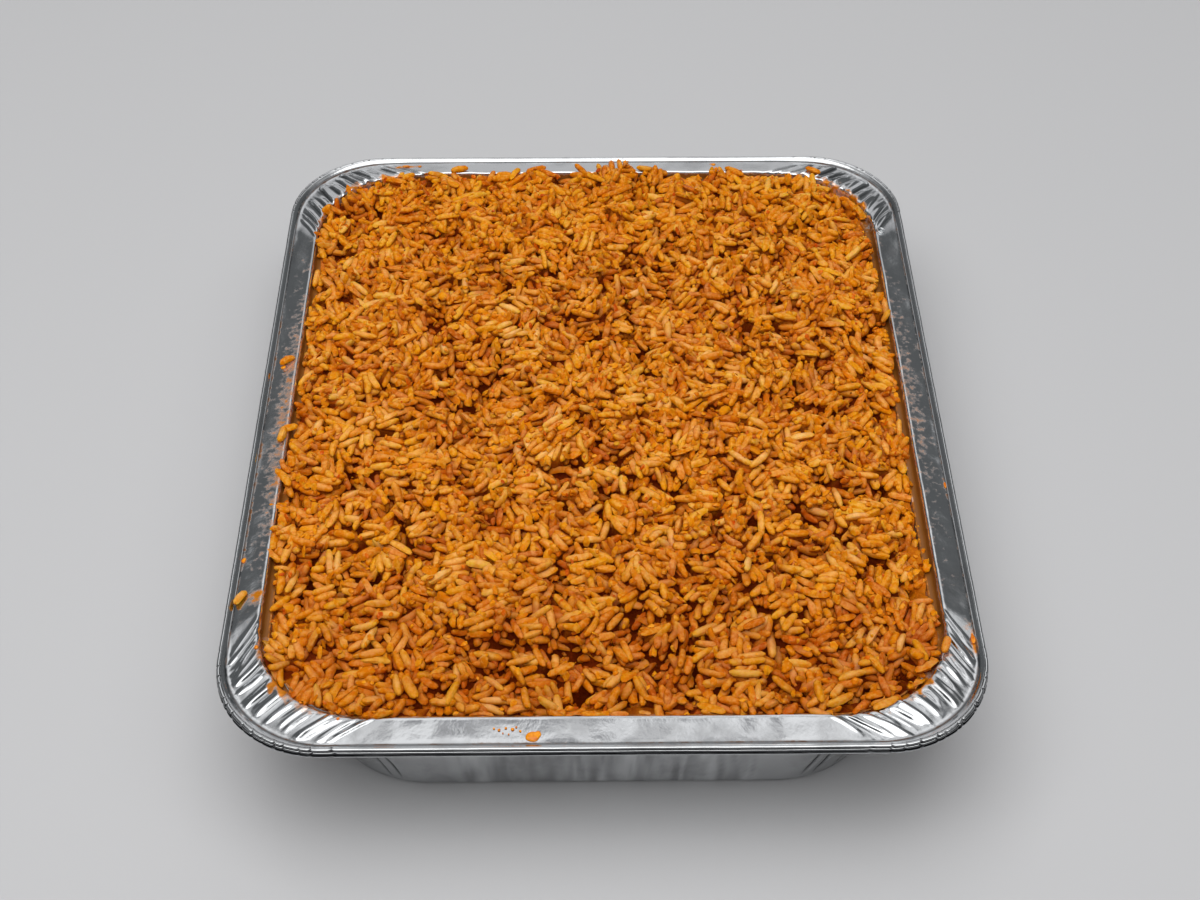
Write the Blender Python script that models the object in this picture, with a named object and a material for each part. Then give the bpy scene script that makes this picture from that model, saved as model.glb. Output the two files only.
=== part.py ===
"""Jollof rice in a half-size foil pan: the pressed foil pan and the heap of rice that fills it.

Frame: metres, +Z up, the pan stands on z = 0 with its long side along Y, and the origin is the
middle of its base. Run with: blender --background --python part.py
"""

import math

import bmesh
import bpy
from mathutils import Vector, noise

MM = 0.001

# The pan, outside sizes.
RIM_WIDTH = 264 * MM
RIM_LENGTH = 322 * MM
PAN_HEIGHT = 65 * MM
FOIL = 0.4 * MM  # pressed foil, drawn thicker than the real 0.1 mm
RIM_RADIUS = 39 * MM  # plan radius of the rolled edge at a corner

# The rim's cross-section. An inset is measured inwards from the outside of the rolled edge.
CREST_INSET = 12.9 * MM
CREST_RADIUS = 40 * MM  # as large as the outer corner's, so the flange is wider at the corners
CREST_ROUND = 0.7 * MM
SHOULDER = 1.2 * MM  # how far the flange runs nearly level before it slopes down
FLANGE_DROP = 1.9 * MM
GUTTER_INSET = 3.4 * MM
STEP_DEPTH = 4.0 * MM
STEP_LEAN = 1.5 * MM
LEDGE_WIDTH = 1.9 * MM

# The rolled edge: an upper and a lower turn of foil with a groove between them.
ROLL_TOP = PAN_HEIGHT - 0.9 * MM
UPPER_TURN = 0.85 * MM
LOWER_TURN = 0.75 * MM
TURN_OVERLAP = 0.1 * MM
UPPER_ANGLES = (115, 75, 35, -5, -45)  # degrees above the outward direction
LOWER_ANGLES = (40, 0, -45, -90, -130)

# The wall and the base.
FOOT_INSET = 30.4 * MM
FOOT_RADIUS = 43 * MM
HEEL_RADIUS = 7 * MM  # upright radius between wall and base
HEEL_OUT = 5.5 * MM  # how far the heel spreads beyond the flat base
HEEL_STEPS = 3

# Pleats pressed into each corner of the flange.
PLEATS_PER_CORNER = 9
PLEAT_HEIGHT = 0.55 * MM
PLEAT_DIP = 0.35  # depth between two pleats, as a share of the height
SIDE_STEPS = 4

# The rice.
GAP = 0.3 * MM  # clearance between the rice and the foil
CELL = 6.8 * MM  # spacing of the points over the heap
EDGE_LEVEL = -1.8 * MM  # rice level at the wall, from the crest
MOUND_HEIGHT = 6.5 * MM  # how far the middle rises above that
LUMP_SWELL = 1.7 * MM
LUMP_SPACING = 24 * MM
TUFT_SWELL = 1.1 * MM
TUFT_SPACING = 8 * MM
NOISE_SHEET = 4.2  # which layer of Blender's fixed noise field the heap reads

# Hollows and rises in the heap: x, y, radius and rise in millimetres.
HEAP_FEATURES = (
    (17, 34, 9, -4.5), (50, 47, 9, -4.5), (-21, -72, 8, -5.0), (-42, -80, 6, -4.0),
    (67, -72, 9, -4.0), (-4, -30, 6, -3.0), (-36, -32, 7, -3.0), (-34, 24, 6, -3.5),
    (-62, 50, 7, -3.5), (83, 45, 6, -3.0), (88, 67, 6, -3.0), (66, 57, 5, -3.0),
    (-106, -45, 9, -2.5), (-108, -102, 9, -4.0), (-92, -124, 10, -3.5), (75, -118, 13, -4.0),
    (98, -112, 8, -3.0), (-62, -104, 8, -3.0), (-30, 100, 7, -3.0), (18, 122, 7, -3.0),
    (-45, 128, 7, -3.0), (-102, 104, 8, -3.5), (-9, -128, 12, -2.5), (105, 132, 24, -3.0),
    (0, 150, 55, 3.0), (-75, 140, 28, 2.0), (-114, -38, 20, 3.0), (-114, 60, 34, 2.0),
    (116, -70, 30, -2.0), (108, 60, 34, 1.5), (-30, -100, 22, 2.0), (20, -15, 26, 1.5),
)  # fmt: skip

FOIL_COLOUR = (0.80, 0.81, 0.82, 1.0)
RICE_COLOUR = (0.62, 0.25, 0.035, 1.0)


def clear_scene():
    for old in list(bpy.data.objects):
        bpy.data.objects.remove(old, do_unlink=True)


def make_material(name, colour, roughness, metallic):
    material = bpy.data.materials.new(name)
    material.use_nodes = True
    shader = material.node_tree.nodes["Principled BSDF"]
    shader.inputs["Base Color"].default_value = colour
    shader.inputs["Roughness"].default_value = roughness
    shader.inputs["Metallic"].default_value = metallic
    return material


def make_object(name, shape):
    """An object in the scene from a bmesh, with its faces pointing out."""
    bmesh.ops.recalc_face_normals(shape, faces=shape.faces)
    mesh = bpy.data.meshes.new(name)
    shape.to_mesh(mesh)
    shape.free()
    body = bpy.data.objects.new(name, mesh)
    bpy.context.scene.collection.objects.link(body)
    return body


def pleat_lift(step, steps):
    """Up on every other point along a corner, fading to nothing where the straight sides start."""
    fade = math.sin(math.pi * step / steps) ** 0.5 if 0 < step < steps else 0.0
    return PLEAT_HEIGHT * fade * (1 if step % 2 else -PLEAT_DIP)


def ring(inset, z, radius, pleat):
    """One loop round the pan: a rectangle inset from the rolled edge, with round corners.

    pleat is the share of the corner pleats' height that this loop shows."""
    across = RIM_WIDTH / 2 - inset - radius
    along = RIM_LENGTH / 2 - inset - radius
    centres = ((across, along), (-across, along), (-across, -along), (across, -along))
    steps = 2 * PLEATS_PER_CORNER
    points = []
    for quarter, (x, y) in enumerate(centres):
        for step in range(steps + 1):
            angle = math.pi / 2 * (quarter + step / steps)
            lift = pleat * pleat_lift(step, steps)
            points.append(
                Vector((x + radius * math.cos(angle), y + radius * math.sin(angle), z + lift))
            )
        next_x, next_y = centres[(quarter + 1) % 4]
        start = points[-1]
        stop = start + Vector((next_x - x, next_y - y, 0))
        points += [start.lerp(stop, step / SIDE_STEPS) for step in range(1, SIDE_STEPS)]
    return points


def wall_profile():
    """The foil's upper side from the base up to the ledge: (inset, z, corner radius, pleat share)."""
    ledge = PAN_HEIGHT - STEP_DEPTH
    ledge_inset = CREST_INSET + STEP_LEAN + LEDGE_WIDTH
    base_inset = FOOT_INSET + HEEL_OUT
    steepness = math.atan2(ledge - FOIL, FOOT_INSET - ledge_inset)
    profile = [(base_inset, FOIL, FOOT_RADIUS - HEEL_OUT, 0)]
    for step in range(1, HEEL_STEPS + 1):
        turn = steepness * step / HEEL_STEPS
        inset = base_inset - HEEL_RADIUS * math.sin(turn)
        profile.append((inset, FOIL + HEEL_RADIUS * (1 - math.cos(turn)), FOOT_RADIUS, 0))
    profile.append((ledge_inset, ledge - CREST_ROUND / 2, CREST_RADIUS - LEDGE_WIDTH, 0.2))
    return profile


def rim_profile():
    """The foil's upper side from the ledge up over the crest and down the flange to the gutter."""
    crest = PAN_HEIGHT
    middle = 0.5 * (CREST_INSET + GUTTER_INSET)
    return [
        (CREST_INSET + STEP_LEAN, crest - STEP_DEPTH, CREST_RADIUS - STEP_LEAN, 0.3),
        (CREST_INSET + CREST_ROUND, crest - CREST_ROUND, CREST_RADIUS, 0.6),
        (CREST_INSET, crest, CREST_RADIUS, 0),
        (CREST_INSET - SHOULDER, crest - SHOULDER / 8, CREST_RADIUS, 1.0),
        (middle, crest - 0.6 * FLANGE_DROP, 0.5 * (CREST_RADIUS + RIM_RADIUS), 1.0),
        (GUTTER_INSET, crest - FLANGE_DROP, RIM_RADIUS - GUTTER_INSET / 2, 0.3),
    ]


def roll_profile():
    """Round the rolled edge, over the upper turn of foil and under the lower one."""
    upper_z = ROLL_TOP - UPPER_TURN
    lower_z = upper_z - UPPER_TURN - LOWER_TURN + TURN_OVERLAP
    turns = ((UPPER_TURN, upper_z, UPPER_ANGLES), (LOWER_TURN, lower_z, LOWER_ANGLES))
    profile = []
    for radius, middle_z, angles in turns:
        for angle in map(math.radians, angles):
            inset = radius * (1 - math.cos(angle))
            profile.append((inset, middle_z + radius * math.sin(angle), RIM_RADIUS - inset, 0))
    return profile


def under_profile(profile):
    """The foil's lower side: the upper profile moved one foil thickness out, walked back in."""
    moved = []
    last = len(profile) - 1
    for i, (inset, z, radius, pleat) in enumerate(profile):
        before = profile[max(i - 1, 0)]
        after = profile[min(i + 1, last)]
        along = Vector((after[0] - before[0], after[1] - before[1])).normalized()
        if i == 0:
            along = Vector((-1, 0))  # the base is level
        moved.append((inset - along.y * FOIL, z + along.x * FOIL, radius + along.y * FOIL, pleat))
    return moved[::-1]


def loft(name, rings):
    """One closed body through a list of loops, with a flat cap on the first and the last."""
    shape = bmesh.new()
    loops = [[shape.verts.new(point) for point in points] for points in rings]
    count = len(loops[0])
    for lower, upper in zip(loops, loops[1:]):
        for i in range(count):
            j = (i + 1) % count
            shape.faces.new((lower[i], lower[j], upper[j], upper[i]))
    shape.faces.new(loops[0][::-1])
    shape.faces.new(loops[-1])
    return make_object(name, shape)


def make_pan():
    upper = wall_profile() + rim_profile()
    whole = upper + roll_profile() + under_profile(upper)
    pan = loft("foil_pan", [ring(*row) for row in whole])
    pan.data.materials.append(make_material("foil", FOIL_COLOUR, 0.25, 1.0))
    pan.data.shade_smooth()
    pan.data.set_sharp_from_angle(angle=math.radians(35))


def heap_height(x, y):
    """The height of the rice at a point in plan."""
    across = min(1.0, abs(x) / (RIM_WIDTH / 2 - CREST_INSET))
    along = min(1.0, abs(y) / (RIM_LENGTH / 2 - CREST_INSET))
    dome = (1 - across**3) * (1 - along**3)
    place = Vector((x, y, 0))
    sheet = Vector((0, 0, NOISE_SHEET))
    swell = LUMP_SWELL * noise.noise(place / LUMP_SPACING + sheet)
    tuft = TUFT_SWELL * noise.noise(place / TUFT_SPACING - sheet)
    height = PAN_HEIGHT + EDGE_LEVEL + MOUND_HEIGHT * dome + swell + tuft
    for middle_x, middle_y, radius, rise in HEAP_FEATURES:
        off = ((x - middle_x * MM) ** 2 + (y - middle_y * MM) ** 2) / (radius * MM) ** 2
        height += rise * MM * math.exp(-off)
    return height


def make_room():
    """The room inside the pan that the rice takes, a little clear of the foil.

    It goes straight up from the ledge, past the top of the heap, so the rice stays inside the step."""
    rows = []
    for inset, z, radius, _ in wall_profile():
        rows.append((inset + GAP, max(z, FOIL + GAP), radius - GAP, 0))
    inset, _, radius, _ = rows[-1]
    rows.append((inset, PAN_HEIGHT + 4 * MOUND_HEIGHT, radius, 0))
    room = loft("rice_room", [ring(*row) for row in rows])
    room.hide_render = True
    room.display_type = "WIRE"
    return room


def make_rice():
    """A block with the heap's uneven top, cut to the room in the pan."""
    reach_x = RIM_WIDTH / 2 - 0.5 * CREST_INSET
    reach_y = RIM_LENGTH / 2 - 0.5 * CREST_INSET
    shape = bmesh.new()
    bmesh.ops.create_grid(
        shape, x_segments=round(2 * reach_x / CELL), y_segments=round(2 * reach_y / CELL), size=1
    )
    edges = [edge for edge in shape.edges if edge.is_boundary]
    skirt = bmesh.ops.extrude_edge_only(shape, edges=edges)["geom"]
    lowered = {item for item in skirt if isinstance(item, bmesh.types.BMVert)}
    for vert in shape.verts:
        x, y = vert.co.x * reach_x, vert.co.y * reach_y
        z = -PAN_HEIGHT if vert in lowered else heap_height(x, y)
        vert.co = Vector((x, y, z))
    bmesh.ops.contextual_create(shape, geom=[edge for edge in shape.edges if edge.is_boundary])
    rice = make_object("jollof_rice", shape)
    rice.data.materials.append(make_material("rice", RICE_COLOUR, 0.5, 0.0))
    cut = rice.modifiers.new("fill_the_pan", "BOOLEAN")
    cut.operation = "INTERSECT"
    cut.object = make_room()


def main():
    clear_scene()
    make_pan()
    make_rice()


main()
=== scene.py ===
import math

import bpy
import numpy as np
from mathutils import Matrix, Vector
from mathutils.bvhtree import BVHTree


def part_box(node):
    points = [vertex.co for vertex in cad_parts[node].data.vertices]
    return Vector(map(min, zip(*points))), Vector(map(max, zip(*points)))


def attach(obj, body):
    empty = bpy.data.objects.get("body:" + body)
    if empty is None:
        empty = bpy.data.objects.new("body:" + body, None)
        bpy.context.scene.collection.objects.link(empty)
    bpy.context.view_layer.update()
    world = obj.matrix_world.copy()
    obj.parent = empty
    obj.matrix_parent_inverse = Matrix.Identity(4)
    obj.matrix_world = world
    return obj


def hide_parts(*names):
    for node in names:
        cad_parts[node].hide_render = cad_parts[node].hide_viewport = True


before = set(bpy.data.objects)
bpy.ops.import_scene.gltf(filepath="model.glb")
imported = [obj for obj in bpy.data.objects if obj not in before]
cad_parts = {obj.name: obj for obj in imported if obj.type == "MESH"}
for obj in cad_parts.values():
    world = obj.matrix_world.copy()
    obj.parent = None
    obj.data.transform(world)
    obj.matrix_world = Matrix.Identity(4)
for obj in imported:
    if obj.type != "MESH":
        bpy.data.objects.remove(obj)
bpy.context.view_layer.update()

mm = 0.001
panLow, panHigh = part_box("foil_pan")
halfWidth = (panHigh.x - panLow.x) / 2
halfLength = (panHigh.y - panLow.y) / 2
crestZ = 65 * mm  # top of the crest round the opening, everything on the rim is measured from it


def report(text):
    print("jollof rice:", text)


# small helpers

def clearSelection():
    if bpy.context.object and bpy.context.object.mode != "OBJECT":
        bpy.ops.object.mode_set(mode="OBJECT")
    bpy.ops.object.select_all(action="DESELECT")


def newPiece(name, add, **settings):
    # a new piece from one of Blender's own shapes
    clearSelection()
    add(**settings)
    bpy.context.object.name = name
    return bpy.context.object


def pick(piece):
    clearSelection()
    piece.select_set(True)
    bpy.context.view_layer.objects.active = piece


def startEdit(piece):
    pick(piece)
    bpy.ops.object.mode_set(mode="EDIT")


def endEdit():
    # faces point outward again, and editing ends
    bpy.ops.mesh.select_all(action="SELECT")
    bpy.ops.mesh.normals_make_consistent(inside=False)
    bpy.ops.object.mode_set(mode="OBJECT")


def selectPoints(piece, chosen):
    # opens the piece for editing with only the chosen points selected
    bpy.context.tool_settings.mesh_select_mode = (True, False, False)
    startEdit(piece)
    bpy.ops.mesh.select_all(action="DESELECT")
    bpy.ops.object.mode_set(mode="OBJECT")
    piece.data.vertices.foreach_set("select", chosen)
    bpy.ops.object.mode_set(mode="EDIT")


def applyModifiers(piece):
    pick(piece)
    for modifier in list(piece.modifiers):
        bpy.ops.object.modifier_apply(modifier=modifier.name)


def readPoints(mesh):
    flat = np.empty(len(mesh.vertices) * 3, np.float32)
    mesh.vertices.foreach_get("co", flat)
    return flat.reshape(-1, 3).astype(float)


def writePoints(mesh, points):
    mesh.vertices.foreach_set("co", np.asarray(points, np.float32).ravel())
    mesh.update()


def addAttribute(mesh, name, values):
    layer = mesh.attributes.new(name, "FLOAT", "POINT")
    layer.data.foreach_set("value", np.asarray(values, np.float32).ravel())


def smoothStep(low, high, value):
    t = np.clip((np.asarray(value, float) - low) / (high - low), 0, 1)
    return t * t * (3 - 2 * t)


def bell(offset, width):
    return np.exp(-((offset / width) ** 2))


def readBetween(grid, u, v, ease):
    # the value of a grid anywhere between its points
    i, j = np.floor(u).astype(int), np.floor(v).astype(int)
    fu, fv = ease(u - i), ease(v - j)
    rows, columns = grid.shape
    near = grid[i % rows, j % columns] * (1 - fu) + grid[(i + 1) % rows, j % columns] * fu
    far = grid[i % rows, (j + 1) % columns] * (1 - fu) + grid[(i + 1) % rows, (j + 1) % columns] * fu
    return near * (1 - fv) + far * fv


def softNoise(x, y, spacing, seed):
    # a smooth random field between -1 and 1, with its bumps about spacing apart
    lattice = np.random.default_rng(seed).uniform(-1, 1, (128, 128))
    u, v = np.asarray(x, float) / spacing, np.asarray(y, float) / spacing
    return readBetween(lattice, u, v, lambda t: smoothStep(0, 1, t))


def roundedDistance(x, y, inset, radius):
    # signed distance to the pan's outline inset from the rolled edge, negative inside
    dx = np.abs(x) - (halfWidth - inset - radius)
    dy = np.abs(y) - (halfLength - inset - radius)
    outside = np.hypot(np.maximum(dx, 0), np.maximum(dy, 0))
    return outside + np.minimum(np.maximum(dx, dy), 0) - radius


def fromCrest(x, y):
    # distance outside the crest line round the opening, negative inside
    return roundedDistance(x, y, foil["crestInset"], foil["crestRadius"])


def drawIn(points, distance):
    # moves points straight in from the crest line
    x, y = points[..., 0], points[..., 1]
    nudge = 0.1 * mm
    outward = fromCrest(x, y)
    slopes = (fromCrest(x + nudge, y) - outward) / nudge, (fromCrest(x, y + nudge) - outward) / nudge
    points[..., 0] -= distance * slopes[0]
    points[..., 1] -= distance * slopes[1]


class Nodes:
    # the nodes of a material or of the world; most methods add one and return its output

    def __init__(self, owner):
        owner.use_nodes = True
        self.tree = owner.node_tree

    def plug(self, node, values):
        for name, value in values.items():
            socket = node.inputs[name]
            if isinstance(value, bpy.types.NodeSocket):
                self.tree.links.new(value, socket)
            else:
                socket.default_value = (*value, 1) if socket.type == "RGBA" else value

    def add(self, kind, values):
        node = self.tree.nodes.new("ShaderNode" + kind)
        self.plug(node, values)
        return node

    def coordinates(self, output="Object"):
        return self.add("TexCoord", {}).outputs[output]

    def attribute(self, name):
        node = self.add("Attribute", {})
        node.attribute_name = name
        return node.outputs["Fac"]

    def noise(self, vector, scale, detail=3.0, roughness=0.55):
        values = {"Vector": vector, "Scale": scale, "Detail": detail, "Roughness": roughness}
        return self.add("TexNoise", values).outputs["Fac"]

    def maths(self, operation, first, second, clamp=False):
        node = self.add("Math", {0: first, 1: second})
        node.operation = operation
        node.use_clamp = clamp
        return node.outputs["Value"]

    def scaled(self, value, fromLow, fromHigh, toLow=0, toHigh=1):
        ends = {"From Min": fromLow, "From Max": fromHigh, "To Min": toLow, "To Max": toHigh}
        return self.add("MapRange", {"Value": value, **ends}).outputs["Result"]

    def mix(self, share, first, second):
        node = self.add("Mix", {})
        node.data_type = "RGBA"
        self.plug(node, {0: share, 6: first, 7: second})
        return node.outputs[2]

    def bump(self, height, distance, strength=1.0, before=None):
        node = self.add("Bump", {"Height": height, "Distance": distance, "Strength": strength})
        if before is not None:
            self.plug(node, {"Normal": before})
        return node.outputs["Normal"]


def newMaterial(name):
    material = bpy.data.materials.new(name)
    nodes = Nodes(material)
    return material, nodes, nodes.tree.nodes["Principled BSDF"]


# camera, light and floor

camera = {
    "place": (-0.0064, -0.5246, 0.5727),
    "pitch": 45.419,  # degrees below level
    "yaw": 0.744,
    "roll": 0.172,
    "lens": 56.64,
}

studio = {
    "floorTone": (0.49, 0.49, 0.497),
    "floorSize": 6.0,
    "boxPlace": (-0.14, -0.31, 1.42),
    "boxAim": (0.0, 0.0, 0.05),
    "boxSize": 1.2,
    "boxPower": 13.5,
    # the room: dim walls, a pale ceiling, a light backdrop and a bright lamp above the camera
    "roomTone": (0.095, 0.099, 0.102),
    "skyTones": ((0.20, 0.20, 0.21), (0.84, 0.84, 0.85)),  # panels and gaps of the ceiling
    "skyPatches": (2.6, 0.34, 0.45),
    "skySides": (0.20, 0.46, 0.62),  # it darkens towards both sides
    "skyRange": (0.62, 0.76),  # sines of the elevations where the walls turn into ceiling
    "backdropTone": (0.50, 0.50, 0.51),
    "backdropDepth": (0.1, 0.3),
    "backdropWidth": (0.20, 0.36),
    "lampTone": (1.9, 1.9, 1.9),
    "lampDepth": (0.02, 0.12),
    "lampHeight": (0.66, 0.74),
}


def makeCamera():
    data = bpy.data.cameras.new("camera")
    data.lens = camera["lens"]
    data.sensor_width = 36
    data.clip_end = 50
    eye = bpy.data.objects.new("camera", data)
    bpy.context.scene.collection.objects.link(eye)
    pitch, yaw, roll = (math.radians(camera[key]) for key in ("pitch", "yaw", "roll"))
    turns = ((-yaw, "Z"), (math.pi / 2 - pitch, "X"), (roll, "Z"))
    eye.matrix_world = Matrix.Translation(camera["place"])
    for angle, axis in turns:
        eye.matrix_world = eye.matrix_world @ Matrix.Rotation(angle, 4, axis)
    bpy.context.scene.camera = eye


def makeLight():
    scene = bpy.context.scene
    scene.view_settings.view_transform = "Standard"
    world = bpy.data.worlds.new("room")
    scene.world = world
    nodes = Nodes(world)
    where = nodes.coordinates("Generated")
    across, depth, height = nodes.add("SeparateXYZ", {"Vector": where}).outputs
    aside = nodes.maths("ABSOLUTE", across, 0.0)
    ahead = nodes.scaled(depth, *studio["backdropDepth"])
    behind = nodes.maths("MULTIPLY", ahead, nodes.scaled(aside, *studio["backdropWidth"], 1, 0))
    tone = nodes.mix(behind, studio["roomTone"], studio["backdropTone"])
    patchScale, *patchRange = studio["skyPatches"]
    panels = nodes.scaled(nodes.noise(where, patchScale, 1), *patchRange)
    ceiling = nodes.mix(panels, *studio["skyTones"])
    sideLow, sideHigh, sideShare = studio["skySides"]
    dimmed = nodes.scaled(aside, sideLow, sideHigh, 0, sideShare)
    ceiling = nodes.mix(dimmed, ceiling, studio["roomTone"])
    tone = nodes.mix(nodes.scaled(height, *studio["skyRange"]), tone, ceiling)
    nearer = nodes.scaled(nodes.maths("MULTIPLY", depth, -1.0), *studio["lampDepth"])
    lamp = nodes.maths("MULTIPLY", nearer, nodes.scaled(height, *studio["lampHeight"]))
    nodes.plug(nodes.tree.nodes["Background"], {"Color": nodes.mix(lamp, tone, studio["lampTone"])})
    softBox = bpy.data.lights.new("softBox", "AREA")
    softBox.shape = "SQUARE"
    softBox.size = studio["boxSize"]
    softBox.energy = studio["boxPower"]
    lamp = bpy.data.objects.new("softBox", softBox)
    lamp.location = studio["boxPlace"]
    lamp.rotation_euler = (lamp.location - Vector(studio["boxAim"])).to_track_quat("Z", "Y").to_euler()
    lamp.visible_glossy = False
    scene.collection.objects.link(lamp)


def makeFloor():
    floor = newPiece("floor", bpy.ops.mesh.primitive_plane_add, size=studio["floorSize"])
    material, nodes, shader = newMaterial("paleFloor")
    nodes.plug(shader, {"Base Color": studio["floorTone"], "Roughness": 0.9, "Specular IOR Level": 0.1})
    floor.data.materials.append(material)


# the foil pan

foil = {
    "thickness": 0.16 * mm,
    "crestInset": 12.9 * mm,
    "gutterInset": 3.4 * mm,
    "flangeDrop": 1.9 * mm,
    "rimRadius": 39 * mm,
    "crestRadius": 40 * mm,
    "footInset": 30.1 * mm,
    "footRadius": 43 * mm,
    "heelRadius": 7 * mm,
    "ledgeIn": 16.3 * mm,
    "ledgeOut": 14.4 * mm,
    "cornerSteps": 160,
    "sideSpacing": 0.95 * mm,
    # pleats in each corner: how many, gentle side, steep side in millimetres, and share of the height
    "pleats": ((15, (1.6, 2.9), (0.75, 1.1), (0.45, 1.0)), (18, (0.7, 1.2), (0.4, 0.6), (0.10, 0.25))),
    "pleatHeight": 1.45 * mm,
    "pleatEnd": 35 * mm,  # either side of the middle of the corner
    # turns of the rolled edge: inset, height and radius in millimetres, first and last angle, steps
    "rollTurns": (
        (1.10, -1.65, 0.75, 155, -60, 14),
        (0.95, -3.15, 0.72, 84, -60, 11),
        (0.45, -4.35, 0.34, 70, -170, 9),
    ),
    # painted shade on each turn, by the angle above the outward direction
    "rollShade": (
        ((-60, 12, 34, 60, 125, 150), (1.0, 1.0, 0.25, 0.15, 0.2, 0.7)),
        ((-60, 12, 34, 50, 70, 84), (1.0, 1.0, 0.55, 0.40, 0.55, 1.0)),
        ((-170, -60, -30, 30, 52), (0.6, 0.6, 0.3, 0.2, 1.0)),
    ),
    "crimps": 15,  # pinches of the roll in each corner
    "crimpDepth": 0.38 * mm,
    "fluteWidth": 3.6 * mm,
    "fluteDepth": 0.42 * mm,
    "wallShade": 0.20,
    "folds": (0.13, 0.21, 0.37, 0.63, 0.78, 0.87),  # of each corner, running down the wall
    "dent": 0.26 * mm,
    "gather": (0.32 * mm, 0.06 * mm),  # crimping of the step in the corners and along the sides
    "ringPlace": (121.5 * mm, 106.5 * mm),
    "ringRadius": 1.6 * mm,
    "tint": (0.86, 0.875, 0.885),
    "dull": (0.52, 0.525, 0.53),  # smudges
    "roughness": (0.07, 0.20),
    "oil": (0.66, 0.21, 0.006),
    "crust": (0.21, 0.075, 0.012),
    "shadow": (0.035, 0.036, 0.038),  # in grooves and creases
}

# sauce on the rim: x, y, reach across, reach along, oil and dried crust, in millimetres
smears = (
    (-121, -95, 4, 4.5, 0.75, 0.1), (-127.8, -77, 1.1, 1.6, 0.8, 0.9), (-85, 154.5, 8, 1.3, 1.0, 0.3),
    (52, 155, 1.8, 1.2, 0.8, 0.3), (128.2, -117, 1.3, 6.5, 1.0, 0.5), (127, -109, 2.2, 3, 0.5, 0.2),
    (128.4, -43, 0.8, 7, 0.5, 0.7), (128.4, 30, 0.6, 26, 0.1, 0.6), (-128.4, 30, 0.7, 44, 0.2, 0.75),
    (-128.4, -55, 0.7, 36, 0.3, 0.8), (-128.4, -20, 0.8, 9, 0.6, 0.6), (-30, -157.5, 26, 0.6, 0.15, 0.6),
    (60, -157.5, 36, 0.5, 0.1, 0.5), (-119, 26, 2.6, 2.2, 0.35, 0.1), (-118, -12, 1.8, 2.4, 0.4, 0.1),
    (118, -121, 3.5, 5, 0.35, 0.1), (-112, -122, 4, 4, 0.3, 0.1), (-121, -5, 6, 95, 0.50, 0.0),
    (121.5, 5, 6, 90, 0.38, 0.0),
)  # fmt: skip


def goRound(cornerSteps, sideSpacing):
    # points round the pan from +X anticlockwise: corner centre as signs, angle, place in a corner, distance
    signs = ((1, 1), (-1, 1), (-1, -1), (1, -1))
    radius = foil["crestRadius"]
    rows = []
    travelled = 0.0
    for k, (sx, sy) in enumerate(signs):
        nx, ny = signs[(k + 1) % 4]
        arc = math.pi / 2 * radius
        for f in np.arange(cornerSteps) / cornerSteps:
            rows.append((sx, sy, math.pi / 2 * (k + f), k + f, travelled + f * arc))
        travelled += arc
        side = 2 * ((halfWidth if k % 2 == 0 else halfLength) - foil["crestInset"] - radius)
        steps = round(side / sideSpacing)
        for f in np.arange(steps) / steps:
            # closer together next to the corners, where the pleats run out
            f = 0.4 * f + 0.3 * (1 - math.cos(math.pi * f))
            place = (sx + (nx - sx) * f, sy + (ny - sy) * f)
            rows.append((*place, math.pi / 2 * (k + 1), -1 - k, travelled + f * side))
        travelled += side
    return np.array(rows).T


def cornerPlaces():
    # distances travelled at the middle of each corner, and all the way round
    arc = math.pi / 2 * foil["crestRadius"]
    sides = [2 * (half - foil["crestInset"] - foil["crestRadius"]) for half in (halfWidth, halfLength)]
    starts = np.cumsum([0, arc + sides[0], arc + sides[1], arc + sides[0]])
    return starts + arc / 2, 4 * arc + 2 * sum(sides)


def pleatField(travelled, across):
    # folds pressed into the corners: each runs out from the crest, leans, and falls off steeply on one side
    middles, total = cornerPlaces()
    end = foil["pleatEnd"] / mm
    lift, crease = np.zeros_like(travelled), np.zeros_like(travelled)
    for corner, middle in enumerate(middles):
        rng = np.random.default_rng(300 + corner)
        place = (travelled - middle + total / 2) % total - total / 2
        near = np.where(np.abs(place) < foil["pleatEnd"] + 11 * mm)[0]
        place, out = place[near] / mm, across[near]
        here, dark = np.zeros(len(near)), np.zeros(len(near))
        for count, wide, steep, tall in foil["pleats"]:
            centres = np.linspace(-end, end, count) + rng.uniform(-1.2, 1.2, count)
            for centre in centres:
                # towards the ends they lean in to the middle of the corner
                lean, curve = -0.13 * centre + rng.normal(0, 0.8), rng.normal(0, 1.1)
                side = rng.choice((-1, 1), p=(0.25, 0.75))
                off = side * (place - centre - lean * out - curve * out**2)
                gentle, sharp = rng.uniform(*wide), rng.uniform(*steep)
                shape = np.where(off < 0, bell(off, gentle), bell(off, sharp))
                start, stop = rng.uniform(-0.10, 0.10), rng.uniform(0.65, 1.05)
                reach = smoothStep(start - 0.12, start + 0.16, out)
                reach *= 1 - smoothStep(stop - 0.35, stop + 0.08, out)
                height = rng.uniform(*tall) * (1 - 0.45 * (centre / end) ** 2)
                here += height * shape * reach
                # painted shade along the foot of each pleat's steep side
                foot = bell(off - 1.2 * sharp, 0.40)
                dark = np.maximum(dark, foot * reach * min(1, 1.1 * height))
        away = np.abs(place)
        here += 0.05 * softNoise(place, out, 1.1, 340 + corner) * (1 - smoothStep(28, 38, away))
        lift[near] += here - 0.55 * (1 - smoothStep(28, 41, away))
        crease[near] = dark
    return lift * foil["pleatHeight"], crease


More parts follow.
